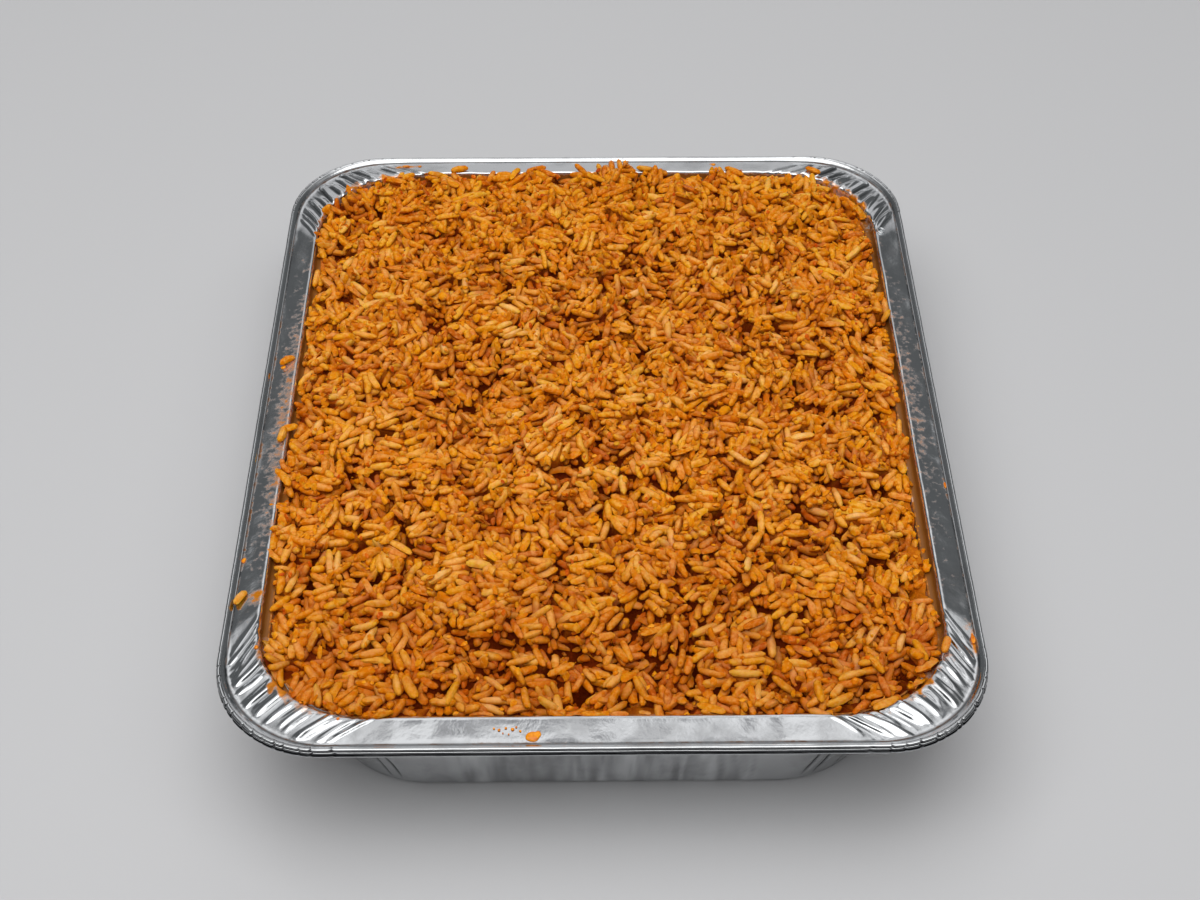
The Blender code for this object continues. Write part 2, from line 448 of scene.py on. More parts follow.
class Sheet:
    # a strip of foil all the way round: a grid, wrapped onto a profile of insets, heights and radii

    def __init__(self, name, rounds, profile):
        count, rows = rounds.shape[1], len(profile)
        self.piece = newPiece(name, bpy.ops.mesh.primitive_grid_add, x_subdivisions=count,
                              y_subdivisions=rows - 1, size=1)
        grid = readPoints(self.piece.data)
        column = np.rint((grid[:, 0] + 0.5) * count).astype(int) % count
        self.row = np.rint((grid[:, 1] + 0.5) * (rows - 1)).astype(int)
        self.sx, self.sy, self.angle, self.cornerPlace, self.travelled = rounds[:, column]
        self.inset, self.z, self.radius = np.array(profile).T[:, self.row]

    def layOut(self, inset):
        x = self.sx * (halfWidth - inset - self.radius) + self.radius * np.cos(self.angle)
        y = self.sy * (halfLength - inset - self.radius) + self.radius * np.sin(self.angle)
        return np.stack((x, y, self.z), 1)

    def close(self, points, oil, crust, shade):
        # joins the ends of the strip
        writePoints(self.piece.data, points)
        values = {"oil": oil, "crust": crust, "shade": shade}
        for name, value in {**values, "travelled": self.travelled, "inset": self.inset}.items():
            addAttribute(self.piece.data, name, value)
        startEdit(self.piece)
        bpy.ops.mesh.select_all(action="SELECT")
        bpy.ops.mesh.remove_doubles(threshold=1e-6)
        endEdit()

    def thicken(self, offset, sharpFrom):
        wall = self.piece.modifiers.new("wall", "SOLIDIFY")
        wall.thickness = foil["thickness"]
        wall.offset = offset
        applyModifiers(self.piece)
        bpy.ops.object.shade_smooth_by_angle(angle=math.radians(sharpFrom))
        return self.piece


def stainAt(x, y, inset, cornerPlace):
    # how much oil and how much dried sauce lies on the foil
    patchy = softNoise(x, y, 9 * mm, 41) * 0.5 + softNoise(x, y, 3 * mm, 42) * 0.35
    lip = smoothStep(12.9 * mm, 13.9 * mm, inset)
    oil = lip * np.clip(0.75 + 0.5 * patchy, 0, 1)
    crust = lip * np.clip(0.35 + 1.2 * patchy, 0, 0.8)
    # oil creeps out between the pleats of the corners
    corner = np.where(cornerPlace >= 0, np.clip(np.sin(math.pi * (cornerPlace % 1)), 0, 1) ** 0.5, 0)
    root = smoothStep(10.6 * mm, 12.8 * mm, inset + 2.0 * mm * softNoise(x, y, 2.2 * mm, 43))
    oil = np.maximum(oil, root * corner * np.clip(0.70 + 1.1 * patchy, 0, 0.9))
    # the step behind the crest is filmed over along the straight sides
    crust = np.maximum(crust, smoothStep(13.1 * mm, 13.7 * mm, inset) * (1 - 0.6 * corner))
    # a thin brown line lies in the gutter
    line = bell(inset - 3.35 * mm, 0.45 * mm)
    crust = np.maximum(crust, line * np.clip(0.6 + 0.5 * patchy, 0, 1))
    for sx, sy, rx, ry, oily, dried in smears:
        off = np.exp(-(((x / mm - sx) / rx) ** 2 + ((y / mm - sy) / ry) ** 2) * (1 + 0.6 * patchy))
        oil = np.maximum(oil, oily * off)
        crust = np.maximum(crust, dried * off)
    return oil, crust


def arc(middleInset, middleZ, radius, start, stop, steps):
    # points on a turn of foil, angles in degrees above the outward direction
    angles = np.radians(np.linspace(start, stop, steps))
    return [(middleInset - radius * math.cos(a), middleZ + radius * math.sin(a)) for a in angles]


def makeFlange():
    rounds = goRound(foil["cornerSteps"], foil["sideSpacing"])
    crest, gutter, drop = foil["crestInset"], foil["gutterInset"], foil["flangeDrop"]
    outline = [
        (foil["ledgeIn"], -4.3 * mm), (15.4 * mm, -4.05 * mm), (foil["ledgeOut"], -3.95 * mm),
        (14.0 * mm, -3.3 * mm), (13.75 * mm, -2.2 * mm), (13.5 * mm, -1.1 * mm), (13.25 * mm, -0.45 * mm),
        (crest, -0.05 * mm), (12.5 * mm, 0.0), (12.0 * mm, -0.06 * mm),
    ]  # fmt: skip
    startInset, startZ = outline[-1]
    for t in np.linspace(0, 1, 18)[1:]:
        outline.append((startInset + (gutter - startInset) * t, startZ - (drop + startZ) * t**0.9))
    outline += [(3.15 * mm, -1.93 * mm), (2.9 * mm, -1.93 * mm), (2.5 * mm, -1.7 * mm),
                (2.1 * mm, -1.2 * mm), (1.6 * mm, -1.0 * mm)]
    profile = []
    for inset, z in outline:
        share = np.clip(inset / crest, 0, 1)
        radius = foil["rimRadius"] * (1 - share) + foil["crestRadius"] * share - max(inset - crest, 0)
        radius -= (1 - share) * inset * 0.6
        profile.append((inset, crestZ + z, radius))
    sheet = Sheet("foilFlange", rounds, profile)
    points = sheet.layOut(sheet.inset)
    x, y = points[:, 0], points[:, 1]
    across = (crest - sheet.inset) / (crest - gutter)
    onFlange = smoothStep(-0.35, 0.1, across) * (1 - smoothStep(0.8, 1.05, across))
    lift, crease = pleatField(sheet.travelled, across)
    lift *= 1 - smoothStep(0.9, 1.1, across)
    lift += onFlange * foil["dent"] * (softNoise(x, y, 15 * mm, 11) + 0.4 * softNoise(x, y, 5 * mm, 12))
    points[:, 2] += lift
    # the step is crimped along the corners, where the foil was gathered
    gather = softNoise(sheet.travelled, sheet.travelled * 0, 1.9 * mm, 14)
    gather += 0.6 * softNoise(sheet.travelled, sheet.z, 0.9 * mm, 15)
    push = np.where(sheet.cornerPlace >= 0, *foil["gather"]) * gather * (1 - smoothStep(-0.08, 0.1, across))
    points[:, 0] += push * np.cos(sheet.angle)
    points[:, 1] += push * np.sin(sheet.angle)
    # painted shade where the foil is folded onto itself, and under the crest
    groove = bell(sheet.inset - 3.25 * mm, 0.40 * mm)
    oil, crust = stainAt(x, y, sheet.inset, sheet.cornerPlace)
    # it runs down off the pleats
    oil *= np.where(sheet.inset < crest, np.clip(1.2 - 1.1 * lift / foil["pleatHeight"], 0, 1), 1)
    sheet.close(points, oil, crust, np.maximum(0.8 * crease, 0.85 * groove))
    return sheet.thicken(-1, 85)


def makeRoll():
    rounds = goRound(foil["cornerSteps"] + 40, 1.6 * mm)
    profile, turnShade = [], []
    for (inset, z, radius, start, stop, steps), shaded in zip(foil["rollTurns"], foil["rollShade"]):
        for pointInset, pointZ in arc(inset * mm, crestZ + z * mm, radius * mm, start, stop, steps):
            profile.append((pointInset, pointZ, foil["rimRadius"] - pointInset))
        # painted shade for every point of the turns
        turnShade += list(np.interp(np.linspace(start, stop, steps), *shaded))
    sheet = Sheet("foilRoll", rounds, profile)
    travelled = sheet.travelled
    shade = np.array(turnShade)[sheet.row]
    # pinched where it goes round the corners, with painted shade in each pinch
    middles, total = cornerPlaces()
    crimp = 0.05 * mm * softNoise(travelled, sheet.z * 3, 4 * mm, 21)
    rng = np.random.default_rng(320)
    for middle in middles:
        for centre in np.linspace(-34, 34, foil["crimps"]) + rng.uniform(-1.8, 1.8, foil["crimps"]):
            off = (travelled - middle - centre * mm + total / 2) % total - total / 2
            off += 0.35 * mm * np.sin((sheet.z - crestZ) / mm * 2 + centre)
            pinch = rng.uniform(0.3, 1) * bell(off, 0.42 * mm)
            crimp += foil["crimpDepth"] * pinch
            shade = np.maximum(shade, 0.9 * pinch)
    points = sheet.layOut(sheet.inset + crimp)
    points[:, 2] += 0.10 * mm * softNoise(travelled, 0 * sheet.z, 30 * mm, 22)
    oil, crust = stainAt(points[:, 0], points[:, 1], sheet.inset, sheet.cornerPlace)
    sheet.close(points, 0.4 * oil, 0.3 * crust, shade)
    return sheet.thicken(-1, 50)


def makeWalls():
    rounds = goRound(120, 0.9 * mm)
    foot, heel = foil["footInset"], foil["heelRadius"]
    ledgeZ = crestZ - 4.3 * mm
    steep = math.atan2(ledgeZ, foot - foil["ledgeIn"])
    baseInset = foot + 5.5 * mm
    outline = []
    for further, radius in ((60, 6), (30, 16), (12, 26), (4, 33), (0, 35.5)):
        outline.append((baseInset + further * mm, 0, radius * mm))
    for step in range(1, 7):
        turn, share = steep * step / 6, step / 6
        radius = 35.5 * mm + share * 5.5 * mm
        outline.append((baseInset - heel * math.sin(turn), heel * (1 - math.cos(turn)), radius))
    startInset, startZ, _ = outline[-1]
    for t in np.linspace(0, 1, 14)[1:]:
        inset = startInset + (foil["ledgeIn"] - startInset) * t
        outline.append((inset, startZ + (ledgeZ - startZ) * t, 41 * mm - 3 * mm * t))
    outline.append((foil["ledgeIn"] - 0.5 * mm, ledgeZ + 0.1 * mm, 38.4 * mm))
    sheet = Sheet("foilWalls", rounds, outline)
    z, cornerPlace = sheet.z, sheet.cornerPlace
    onWall = smoothStep(5 * mm, 12 * mm, z) * (1 - smoothStep(ledgeZ - 5 * mm, ledgeZ - 1 * mm, z))
    level = sheet.layOut(sheet.inset)
    across = (cornerPlace == -1) | (cornerPlace == -3)
    along = np.where(across, level[:, 0], level[:, 1])
    reach = np.where(across, halfWidth, halfLength) - foot - foil["footRadius"]
    side = np.where(cornerPlace < 0, smoothStep(0, 8 * mm, reach - np.abs(along)), 0)
    flute = (0.5 + 0.5 * np.cos(2 * math.pi * along / foil["fluteWidth"])) ** 1.5
    uneven = 1 + 0.35 * softNoise(along, z * 0, 12 * mm, 31)
    push = onWall * side * foil["fluteDepth"] * flute * uneven
    push += 0.25 * mm * onWall * softNoise(sheet.travelled, z, 18 * mm, 32)
    # painted shade darkens the walls, more in bands running down between the flutes
    bands = softNoise(along, z * 0.08, 3.2 * mm, 34) + 0.8 * softNoise(along, z * 0.1, 1.4 * mm, 35)
    shade = foil["wallShade"] * (1 + side * np.clip(bands, -1, 1))
    # creases run down the corners, where the foil was drawn in, with painted shade along them
    rng = np.random.default_rng(330)
    for corner in range(4):
        for place in np.array(foil["folds"]) + rng.uniform(-0.02, 0.02, len(foil["folds"])):
            off = (cornerPlace - corner - place - 0.03 * softNoise(z, z * 0, 20 * mm, 33)) * 60
            crease = bell(off, 0.55) - 0.5 * bell(off - 1.2, 0.7)
            deep = rng.uniform(0.75, 1) * onWall * (cornerPlace >= 0)
            push -= 0.45 * mm * deep * crease
            shade = np.maximum(shade, deep * bell(off, 0.6))
    film = smoothStep(ledgeZ - 6 * mm, ledgeZ - 1 * mm, z)
    sheet.close(sheet.layOut(sheet.inset - push), 0.8 * film, 0.55 * film, shade)
    # close the base, then give the foil its thickness
    flat = readPoints(sheet.piece.data)
    innermost = roundedDistance(flat[:, 0], flat[:, 1], baseInset + 60 * mm, 6 * mm) < 0.1 * mm
    selectPoints(sheet.piece, innermost & (flat[:, 2] < 0.01 * mm))
    bpy.ops.mesh.edge_face_add()
    endEdit()
    return sheet.thicken(1, 50)


def foilMaterial():
    material, nodes, shader = newMaterial("pressedFoil")
    where = nodes.coordinates()
    breakUp = nodes.scaled(nodes.noise(where, 420, 4), 0.3, 0.7, -0.25, 0.25)
    oil = nodes.scaled(nodes.maths("ADD", nodes.attribute("oil"), breakUp), 0.30, 0.70)
    crust = nodes.scaled(nodes.maths("ADD", nodes.attribute("crust"), breakUp), 0.38, 0.75)
    smudge = nodes.noise(where, 60, 4)
    colour = nodes.mix(nodes.scaled(smudge, 0.50, 0.66, 0, 0.5), foil["tint"], foil["dull"])
    colour = nodes.mix(oil, colour, foil["oil"])
    colour = nodes.mix(crust, colour, foil["crust"])
    shade = nodes.attribute("shade")
    covered = nodes.maths("MAXIMUM", nodes.maths("MULTIPLY", oil, 0.7), crust)
    rough = nodes.scaled(smudge, 0.3, 0.7, *foil["roughness"])
    # ripples run across the rim, so the noise is drawn out that way
    along = nodes.maths("MULTIPLY", nodes.attribute("travelled"), 260.0)
    over = nodes.maths("MULTIPLY", nodes.attribute("inset"), 60.0)
    drawn = nodes.add("CombineXYZ", {"X": along, "Y": over}).outputs["Vector"]
    surface = nodes.bump(nodes.noise(drawn, 1.0, 3), 0.25 * mm, 0.17)
    surface = nodes.bump(nodes.noise(where, 150, 3, 0.5), 0.6 * mm, 0.20, surface)
    surface = nodes.bump(nodes.noise(where, 900, 2), 0.06 * mm, 0.4, surface)
    # painted shade darkens the colour and the edge reflections in grooves, creases and on the walls
    nodes.plug(shader, {
        "Base Color": nodes.mix(shade, colour, foil["shadow"]),
        "Specular Tint": nodes.mix(shade, (1.0, 1.0, 1.0), foil["shadow"]),
        "Metallic": nodes.scaled(covered, 0, 1, 1.0, 0.15),
        "Roughness": nodes.maths("ADD", rough, nodes.scaled(covered, 0, 1, 0, 0.2)),
        "Normal": surface,
    })
    return material


def makeRing():
    # a small round mark embossed beside one corner
    x, y = foil["ringPlace"]
    place = (x, y, rimSurface(fromCrest(x, y)) + 0.06 * mm)
    ring = newPiece("foilRing", bpy.ops.mesh.primitive_torus_add, major_radius=foil["ringRadius"],
                    minor_radius=0.34 * mm, major_segments=48, minor_segments=12, location=place)
    ring.rotation_euler = (0, math.atan2(foil["flangeDrop"], foil["crestInset"] - foil["gutterInset"]), 0)
    bpy.ops.object.transform_apply(location=True, rotation=True, scale=True)
    bpy.ops.object.shade_smooth()
    return ring


def makePan():
    material = foilMaterial()
    for piece in (makeFlange(), makeRoll(), makeWalls(), makeRing()):
        piece.data.materials.append(material)
        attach(piece, "root")
        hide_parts("foil_pan")
        piece.data.calc_loop_triangles()
        report(f"{piece.name} has {len(piece.data.loop_triangles)} triangles")


# the rice

heap = {
    "coreDepth": 11.0 * mm,  # the lowest grains lie this far under the heap's surface
    "cell": 0.45 * mm,  # of the height map that the grains are laid on
    "tries": 80000,
    "squash": 0.50 * mm,  # how far a soft grain sinks into what it lies on
    "level": 0.2 * mm,  # how far grains may stand above the surface, on average
    "levelSpread": 0.9 * mm,
    "clumpSpacing": 15 * mm,
    "clumpHeight": 3.2 * mm,  # how much clumps differ in height
    "crackDepth": 7.5 * mm,  # of the gaps between clumps
    "crackWidth": 3.4 * mm,
    "roughness": 1.3 * mm,
    "bundled": 0.55,  # share of grains that lie along their neighbours
    "bundle": (2, 4),  # grains stuck side by side
    "bundleShare": 0.30,
    "standing": 0.12,  # share of grains that stick up at a slope
    "slopes": (25, 55),  # degrees
    "deepGap": 1.9 * mm,  # where grains turn until they fit
    "wedged": 0.6,  # how far they are pushed in there, as a share of what is under them
    "edge": 1.0 * mm,  # how far the paste stays inside the crest line
    "edgeReach": -0.6 * mm,  # how far grains reach past the crest line
    "edgeWander": 1.7 * mm,
    "edgeDip": 2.6 * mm,
    "backRise": 1.2 * mm,  # the heap comes over the crest at the back
    "frontGaps": 0.55,  # how much rougher the front is
    "backCalm": 0.4,  # how much shallower the gaps are at the back
    "clumpCrown": 0.9 * mm,
    "steepestRest": 1.1,  # slope of a grain that lies on others
    "stretch": 1.08,  # of all lengths
    "seed": 7,
}

# what sticks the grains together, as a skin that fills the narrow gaps between them
paste = {
    "spacing": 0.86 * mm,
    "under": 1.2 * mm,  # it stays this far under the grains' sides
    "depth": 2.0 * mm,  # below the blurred tops of the grains
    "mushy": 1.5 * mm,  # how much higher it comes in mushy patches
    "relief": 0.42 * mm,
    "backShift": 0.25,  # mushier at the back, less so at the front
    "frontShift": 0.2,
    "sides": ((59 * mm, 17.8 * mm), (8 * mm, 35.5 * mm)),  # heights and insets of the hidden sides
    "tones": ((0.60, 0.140, 0.001), (0.72, 0.235, 0.003)),
    # painted shade for the paste deep down
    "shadeTone": (0.13, 0.016, 0.001),
}

# each kind of grain: share of the heap, lengths and widths in millimetres, bend, flatness, lumpiness,
# how strong the painted highlight on its crown is, and its two tones
grainKinds = {
    "goldenGrains": (0.17, (7.5, 9.8), (2.9, 3.5), 0.34, 0.88, 0.045, 0.5,
                     ((0.609, 0.185, 0.001), (0.694, 0.296, 0.005))),
    "honeyGrains": (0.17, (7.3, 9.4), (2.8, 3.4), 0.42, 0.86, 0.05, 0.6,
                    ((0.624, 0.207, 0.001), (0.703, 0.318, 0.007))),
    "amberGrains": (0.15, (7.1, 9.2), (2.8, 3.4), 0.48, 0.88, 0.05, 0.4,
                    ((0.563, 0.147, 0.001), (0.672, 0.241, 0.003))),
    "orangeGrains": (0.13, (7.1, 9.4), (2.7, 3.3), 0.38, 0.9, 0.06, 0.3,
                     ((0.593, 0.164, 0.001), (0.686, 0.262, 0.003))),
    "rustGrains": (0.08, (6.8, 8.8), (2.7, 3.2), 0.42, 0.88, 0.05, 0.3,
                   ((0.437, 0.091, 0.001), (0.593, 0.162, 0.002))),
    "paleGrains": (0.08, (7.7, 9.8), (2.9, 3.4), 0.32, 0.9, 0.04, 0.9,
                   ((0.655, 0.253, 0.007), (0.686, 0.353, 0.025))),
    "brokenGrains": (0.1, (4.4, 6.6), (2.5, 3.3), 0.1, 0.88, 0.1, 0.5,
                     ((0.593, 0.168, 0.001), (0.694, 0.296, 0.006))),
    "mashedGrains": (0.07, (3.2, 5.9), (2.8, 3.8), 0.21, 0.75, 0.2, 0.0,
                     ((0.624, 0.185, 0.001), (0.694, 0.267, 0.003))),
}  # fmt: skip

grainLook = {
    "sauce": (0.60, 0.140, 0.002),  # in patches
    # colour of the painted highlight along the top of each grain
    "crown": (0.84, 0.47, 0.18),
    # painted shade deep between the grains, and how strong it gets
    "shadeTone": (0.32, 0.034, 0.002),
    "shadeShare": 0.62,
    "roughness": 0.26,
    "shine": 0.16,
    "shineTint": (1.0, 0.68, 0.30),
    "glow": 0.35,  # light that goes into a grain and comes out beside
}

grainOutline = ((0.0, 0.34), (0.11, 0.81), (0.46, 1.0), (0.87, 0.83), (1.0, 0.34))
grainSides = 8


def clumpField(x, y, spacing, seed):
    # scattered clumps: distance to the nearest middle, extra distance to the next, a value for each
    rng = np.random.default_rng(seed)
    placeU, placeV = rng.uniform(0.1, 0.9, (64, 64)), rng.uniform(0.1, 0.9, (64, 64))
    value = rng.uniform(0, 1, (64, 64))
    u, v = x / spacing, y / spacing
    i, j = np.floor(u).astype(int), np.floor(v).astype(int)
    nearest, second, own = np.full(u.shape, 9.0), np.full(u.shape, 9.0), np.zeros(u.shape)
    for a in (-1, 0, 1):
        for b in (-1, 0, 1):
            k, m = (i + a) % 64, (j + b) % 64
            far = np.hypot(i + a + placeU[k, m] - u, j + b + placeV[k, m] - v)
            closer = far < nearest
            second = np.where(closer, nearest, np.minimum(second, far))
            own = np.where(closer, value[k, m], own)
            nearest = np.where(closer, far, nearest)
    return nearest * spacing, (second - nearest) * spacing, own


def heapSurface(x, y):
    # the heap's top from the CAD, read on a coarse grid and smoothed between
    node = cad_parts["jollof_rice"]
    tree = BVHTree.FromPolygons([v.co for v in node.data.vertices], [p.vertices for p in node.data.polygons])
    low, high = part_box("jollof_rice")
    step = 2.5 * mm
    xs = np.arange(low.x + 1.5 * mm, high.x - 1.2 * mm, step)
    ys = np.arange(low.y + 1.5 * mm, high.y - 1.2 * mm, step)
    grid = np.full((len(xs), len(ys)), np.nan)
    for i, gx in enumerate(xs):
        for j, gy in enumerate(ys):
            hit = tree.ray_cast(Vector((gx, gy, 1)), Vector((0, 0, -1)))[0]
            if hit is not None and hit.z > 40 * mm:
                grid[i, j] = hit.z
    # the rounded corners have nothing above them, so they take the nearest height
    while np.isnan(grid).any():
        gaps = np.isnan(grid)
        padded = np.pad(grid, 1, constant_values=np.nan)
        around = np.stack([padded[1 + a:padded.shape[0] - 1 + a, 1 + b:padded.shape[1] - 1 + b]
                           for a in (-1, 0, 1) for b in (-1, 0, 1)])
        known = ~np.isnan(around)
        mean = np.where(known, around, 0).sum(0) / np.maximum(known.sum(0), 1)
        grid = np.where(gaps & (known.sum(0) > 0), mean, grid)
    u = np.clip((x - xs[0]) / step, 0, len(xs) - 1.001)
    v = np.clip((y - ys[0]) / step, 0, len(ys) - 1.001)
    return readBetween(grid, u, v, lambda t: t)


def rimSurface(outward):
    # height of the foil from the ledge outwards, by distance outside the crest line
    marks = np.array((-3.6, -3.4, -1.5, -0.6, 0.0, 1.0, 9.5, 11.0, 12.9)) * mm
    heights = np.array((-9.0, -4.3, -4.0, -0.8, 0.0, 0.0, -1.9, -1.1, -1.9)) * mm
    return crestZ + np.interp(outward, marks, heights)


def wallSurface(z):
    # distance of the wall outside the crest line, by height
    heights = (0, 5.5 * mm, crestZ - 4.3 * mm)
    insets = (foil["footInset"] + 5.5 * mm, foil["footInset"] - 1.3 * mm, foil["ledgeIn"])
    return foil["crestInset"] - np.interp(z, heights, insets)


def keepInPan(points):
    # draws in whatever would stick out through the wall or the ledge
    z = points[..., 2]
    outward = fromCrest(points[..., 0], points[..., 1])
    hidden = z < np.maximum(rimSurface(outward) - 0.8 * mm, crestZ - 4.5 * mm)
    over = np.where(hidden, np.maximum(outward - wallSurface(z) + 0.4 * mm, 0), 0)
    drawIn(points, 0.98 * over)
    return points


class GrainBed:
    # a height map of the pan that grains are laid on one by one

    def __init__(self):
        self.cell = heap["cell"]
        self.reach = (halfWidth + 2 * mm, halfLength + 2 * mm)
        gx, gy = (-r + (np.arange(int(2 * r / self.cell)) + 0.5) * self.cell for r in self.reach)
        self.x, self.y = np.meshgrid(gx, gy, indexing="ij")
        surface = heapSurface(self.x, self.y)
        self.outward = fromCrest(self.x, self.y)
        wobbleX, wobbleY = (3.5 * mm * self.noise(9, seed) for seed in (54, 55))
        near, gap, value = clumpField(self.x + wobbleX, self.y + wobbleY, heap["clumpSpacing"], 51)
        loose = smoothStep(-0.35, 0.45, self.noise(21, 56))
        # the front is looser, with deeper gaps
        self.front = smoothStep(60 * mm, 135 * mm, -self.y)
        rougher = 1 + heap["frontGaps"] * self.front
        deep = heap["crackDepth"] * (rougher - heap["backCalm"] * smoothStep(40 * mm, 130 * mm, self.y))
        crack = deep * bell(gap, heap["crackWidth"]) * loose
        self.wanted = surface + heap["clumpHeight"] * (value - 0.5) + 0.1 * mm - crack
        self.wanted -= heap["clumpCrown"] * (near / (0.5 * heap["clumpSpacing"])) ** 2
        self.wanted += heap["roughness"] * rougher * self.noise(5.5, 52)
        # the heap's edge wanders, dips in places, and comes over the crest at the back
        self.edge = heap["edgeReach"] + heap["edgeWander"] * self.noise(20, 57)
        dip = smoothStep(-7 * mm, -1 * mm, self.outward) * smoothStep(-0.5, 0.5, self.noise(17, 58))
        back = smoothStep(95 * mm, 145 * mm, self.y)
        self.wanted += heap["backRise"] * back
        self.wanted -= heap["edgeDip"] * rougher * (1 - back) * dip
        inside = self.outward < -3.4 * mm
        self.top = np.where(inside, surface - heap["coreDepth"], rimSurface(self.outward))
        self.half = 13  # cells that a grain reaches either way
        offsets = np.arange(-self.half, self.half + 1) * self.cell
        self.offX, self.offY = (grid.ravel() for grid in np.meshgrid(offsets, offsets, indexing="ij"))

    def noise(self, spacing, seed):
        return softNoise(self.x, self.y, spacing * mm, seed)

    def at(self, x, y):
        return int((x + self.reach[0]) / self.cell), int((y + self.reach[1]) / self.cell)

    def cells(self, x, y):
        i = np.clip(((x + self.reach[0]) / self.cell).astype(int), 0, self.top.shape[0] - 1)
        j = np.clip(((y + self.reach[1]) / self.cell).astype(int), 0, self.top.shape[1] - 1)
        return i, j

    def footprint(self, x, y, heading, length, width):
        # the cells under a grain, their places along it, and how far its side bulges there
        ci, cj = self.at(x, y)
        c, s = math.cos(heading), math.sin(heading)
        u, v = self.offX * c + self.offY * s, -self.offX * s + self.offY * c
        radius = width / 2
        square = radius**2 - v**2 - np.maximum(np.abs(u) - length / 2 + radius, 0) ** 2
        under = np.where(square > 0)[0]
        ri = ci - self.half + under // (2 * self.half + 1)
        rj = cj - self.half + under % (2 * self.half + 1)
        return ri, rj, u[under], np.sqrt(square[under])

    def settle(self, x, y, heading, length, width):
        # a grain over a deep gap turns until it lies lowest
        lowest, found = None, heading
        for turned in heading + math.pi * np.arange(4) / 4:
            ri, rj, _, bulge = self.footprint(x, y, turned, length, width)
            height = np.quantile(self.top[ri, rj] + bulge, heap["wedged"])
            if lowest is None or height < lowest:
                lowest, found = height, turned
        return found

    def lay(self, x, y, heading, length, width, room, wedged=False, forcedTilt=None, sink=0.0):
        # rests one grain on the two points that hold it up, and returns its middle height and tilt
        ci, cj = self.at(x, y)
        radius = width / 2
        ri, rj, u, bulge = self.footprint(x, y, heading, length, width)
        needed = self.top[ri, rj] + bulge - heap["squash"]
        if wedged:
            slope, height = 0.0, np.quantile(needed, heap["wedged"])
        elif forcedTilt is None:
            left, right = np.where(u < 0)[0], np.where(u >= 0)[0]
            uL, rL, uR, rR = u[left], needed[left], u[right], needed[right]
            gap = uR[None, :] - uL[:, None]
            held = (rL[:, None] * uR[None, :] - rR[None, :] * uL[:, None]) / gap
            a, b = divmod(held.argmax(), len(uR))
            height, slope = held[a, b], (rR[b] - rL[a]) / gap[a, b]
            if abs(slope) > heap["steepestRest"]:
                slope = math.copysign(heap["steepestRest"], slope)
                height = (needed - slope * u).max()
        else:
            slope = math.tan(forcedTilt)
            height = self.top[ci, cj] + 0.5 * radius - 0.25 * length * math.sin(abs(forcedTilt)) + sink
        steep = math.hypot(1, slope)
        limit = self.wanted[ci, cj] + room
        if height + radius > limit or height + abs(slope) / steep * length / 2 > limit + 1.2 * mm:
            return None
        covered = np.abs(u) < length / 2 / steep + 0.3 * radius
        crown = height + slope * u[covered] + bulge[covered] * steep
        ri, rj = ri[covered], rj[covered]
        self.top[ri, rj] = np.maximum(self.top[ri, rj], crown)
        return height, math.atan(slope)


def layGrains(bed):
    rng = np.random.default_rng(heap["seed"])
    kinds = list(grainKinds.values())
    shares = np.array([kind[0] for kind in kinds])
    tries = heap["tries"]
    picks = rng.choice(len(kinds), tries, p=shares / shares.sum())
    numbers = rng.uniform(0, 1, (tries, 10))
    reach = [half - foil["crestInset"] + 1.5 * mm for half in (halfWidth, halfLength)]
    spots = rng.uniform(-1, 1, (tries, 3, 2)) * reach
    normals = rng.normal(0, 1, (tries, 3))
    laid = []
    for turn in range(tries):
        # of a few places, take the one that most needs a grain
        n, best, most = numbers[turn], None, 0.45 * mm
        for px, py in spots[turn][: 1 + int(n[7] * 3)]:
            ci, cj = bed.at(px, py)
            need = bed.wanted[ci, cj] - bed.top[ci, cj]
            if bed.outward[ci, cj] < bed.edge[ci, cj] and need > most:
                best, most = (px, py), need
        if best is None:
            continue
        _, lengths, widths, *_ = kinds[picks[turn]]
        length = np.interp(n[0], (0, 1), lengths) * heap["stretch"] * mm
        width = np.interp(n[1], (0, 1), widths) * mm
        heading = n[2] * math.pi
        if n[3] < heap["bundled"]:
            heading = math.pi * softNoise(*best, 13 * mm, 53) + 0.35 * normals[turn, 0]
        tilt = None
        wedged = most > heap["deepGap"]
        if wedged:
            heading = bed.settle(*best, heading, length, width)
        elif n[4] < heap["standing"] and length > 5 * mm:
            gentlest, steepest = heap["slopes"]
            tilt = math.copysign(math.radians(gentlest + (steepest - gentlest) * n[5]), normals[turn, 1])
        room = heap["level"] + heap["levelSpread"] * normals[turn, 2]
        count = 1
        if n[8] < heap["bundleShare"]:
            count = round(np.interp(n[9], (0, 1), heap["bundle"]))
        for mate in range(count):
            # mates lie side by side, a little askew
            beside = (mate + 1) // 2 * (1 if mate % 2 else -1) * 0.88 * width
            shift = rng.normal(0, 1, 3) if mate else (0, 0, 0)
            x = best[0] - math.sin(heading) * beside + math.cos(heading) * shift[0] * 0.9 * mm
            y = best[1] + math.cos(heading) * beside + math.sin(heading) * shift[0] * 0.9 * mm
            ci, cj = bed.at(x, y)
            if bed.outward[ci, cj] > bed.edge[ci, cj]:
                continue
            askew = heading + 0.12 * shift[1]
            long = length * (1 + 0.07 * shift[2])
            found = bed.lay(x, y, askew, long, width, room, wedged, tilt, 0.5 * mm * n[6])
            if found:
                laid.append((picks[turn], x, y, found[0], askew, found[1], long, width))
    gap = (bed.wanted - bed.top)[bed.outward < -4 * mm]
    report(f"{len(laid)} grains laid, {gap.mean() / mm:.2f} mm under the wanted surface")
    return np.array(laid)


def spread(grid, radius, pick):
    # the highest or lowest value within a radius of each cell
    steps = int(radius / heap["cell"])
    found = grid.copy()
    for i in range(-steps, steps + 1):
        for j in range(-steps, steps + 1):
            if 0 < i * i + j * j <= steps * steps + 1:
                found = pick(found, np.roll(np.roll(grid, i, 0), j, 1))
    return found


